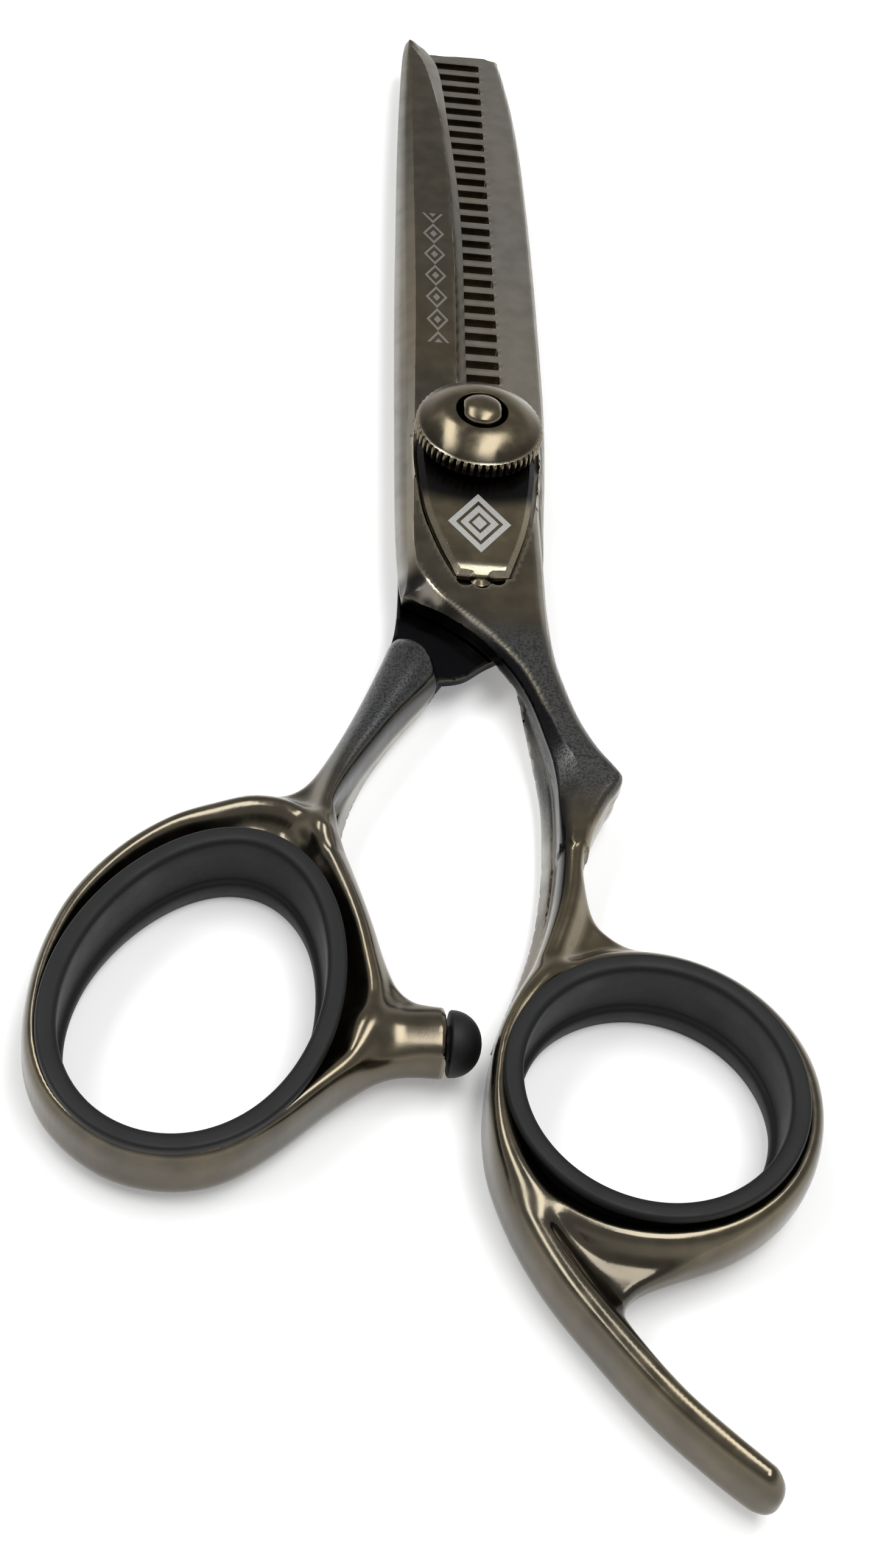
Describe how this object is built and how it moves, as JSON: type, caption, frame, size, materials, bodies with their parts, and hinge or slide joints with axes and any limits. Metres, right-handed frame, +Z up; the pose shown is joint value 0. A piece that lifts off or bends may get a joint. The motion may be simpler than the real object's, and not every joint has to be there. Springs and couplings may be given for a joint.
{
  "type": "thinning shears",
  "caption": "Hair thinning shears: a solid cutting blade over a toothed comb blade, offset rubber-lined rings, a finger rest tang, a rubber bumper and a thumb-turned tension dial.",
  "frame": {"origin": "on the pivot's axis, at the underside of the pivot bolt's head, which is level with the surface that the closed shears lie on", "axes": "+Z up the pivot bolt towards the tension dial, +Y along the closed blades to their tips, +X to the side of the finger ring"},
  "size_m": [0.0609, 0.1711, 0.011],
  "materials": {
    "cutting_half": "satin forged steel with polished bronze-tinted edges",
    "comb_half": "satin forged steel with polished bronze-tinted edges",
    "ring_rubber": "matt black",
    "bumper_rubber": "matt black",
    "dial_bronze": "polished, warm bronze tint",
    "bolt_steel": "polished",
    "leaf_bronze": "satin, warm bronze tint",
    "bearing_plastic": "natural low-friction plastic",
    "spring_steel": "plain"
  },
  "bodies": {
    "cutting_side": {"cutting_blade_half": "cutting_half", "finger_ring_insert": "ring_rubber", "pivot_bolt": "bolt_steel", "leaf_plate": "leaf_bronze", "spring_washer": "spring_steel", "head_washer": "bearing_plastic"},
    "comb_side": {"comb_blade_half": "comb_half", "thumb_ring_insert": "ring_rubber", "bumper": "bumper_rubber", "pivot_bush": "bearing_plastic", "ride_washer": "bearing_plastic"},
    "dial": {"tension_dial": "dial_bronze"}
  },
  "joints": [
    {"name": "blade_pivot", "type": "hinge", "parent": "cutting_side", "child": "comb_side", "pos_m": [0, 0, 0], "axis": [0, 0, -1], "range_deg": [0, 75]},
    {"name": "dial_turn", "type": "hinge", "parent": "cutting_side", "child": "dial", "pos_m": [0, 0, 0.0086], "axis": [0, 0, 1], "range_deg": [-60, 180]}
  ]
}
